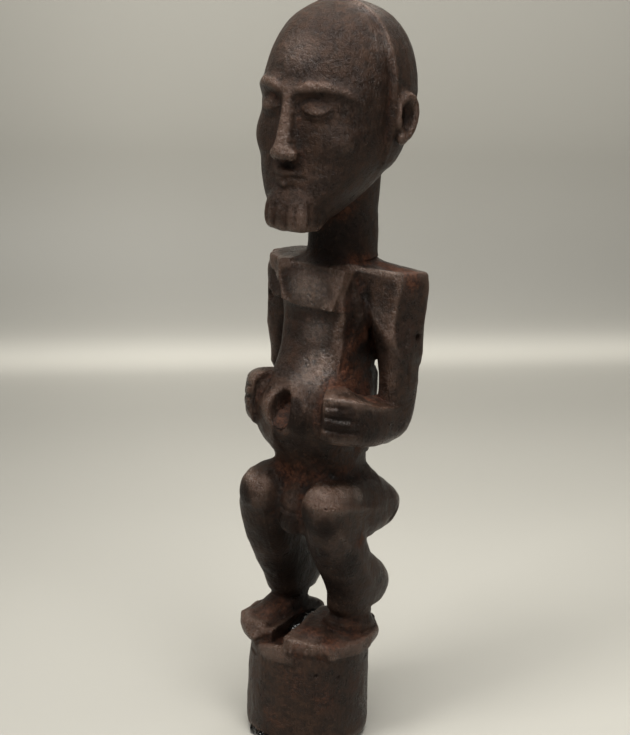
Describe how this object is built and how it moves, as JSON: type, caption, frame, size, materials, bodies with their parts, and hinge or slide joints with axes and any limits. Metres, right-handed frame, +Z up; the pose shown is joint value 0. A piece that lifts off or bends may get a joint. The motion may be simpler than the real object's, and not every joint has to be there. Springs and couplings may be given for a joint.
{
  "type": "carved ancestor figure",
  "caption": "Small carved wooden ancestor figure with hands on the belly and bent legs, standing on a round plinth.",
  "frame": {"origin": "centre of the plinth's flat underside", "axes": "+Z up along the plinth's axis, the front of the figure faces -Y, the figure's own left side is +X"},
  "size_m": [0.0528, 0.0543, 0.233],
  "materials": {
    "face_wood": "hand-rubbed dark brown patina, satin to glossy on the high points",
    "hair_wood": "smooth dark brown patina with fine tool marks",
    "body_wood": "dark brown patina, satin, red-brown residue in the recesses",
    "leg_wood": "near-black brown patina, satin",
    "plinth_wood": "worn dark brown wood, satin, dull on the underside",
    "packing": "dry earthy packing, matt and crumbly",
    "resin": "hard black resin, glossy"
  },
  "bodies": {
    "root": {"head": "face_wood", "hair_cap": "hair_wood", "left_ear": "face_wood", "right_ear": "face_wood", "beard": "face_wood", "neck": "body_wood", "chest": "body_wood", "abdomen": "body_wood", "pelvis": "body_wood", "groin": "body_wood", "left_upper_arm": "body_wood", "right_upper_arm": "body_wood", "left_forearm": "body_wood", "right_forearm": "body_wood", "left_hand": "body_wood", "right_hand": "body_wood", "left_thigh": "leg_wood", "right_thigh": "leg_wood", "left_shank": "leg_wood", "right_shank": "leg_wood", "left_foot": "plinth_wood", "right_foot": "plinth_wood", "plinth": "plinth_wood", "navel_charge": "packing", "foot_resin": "resin", "base_resin": "resin"}
  },
  "joints": []
}
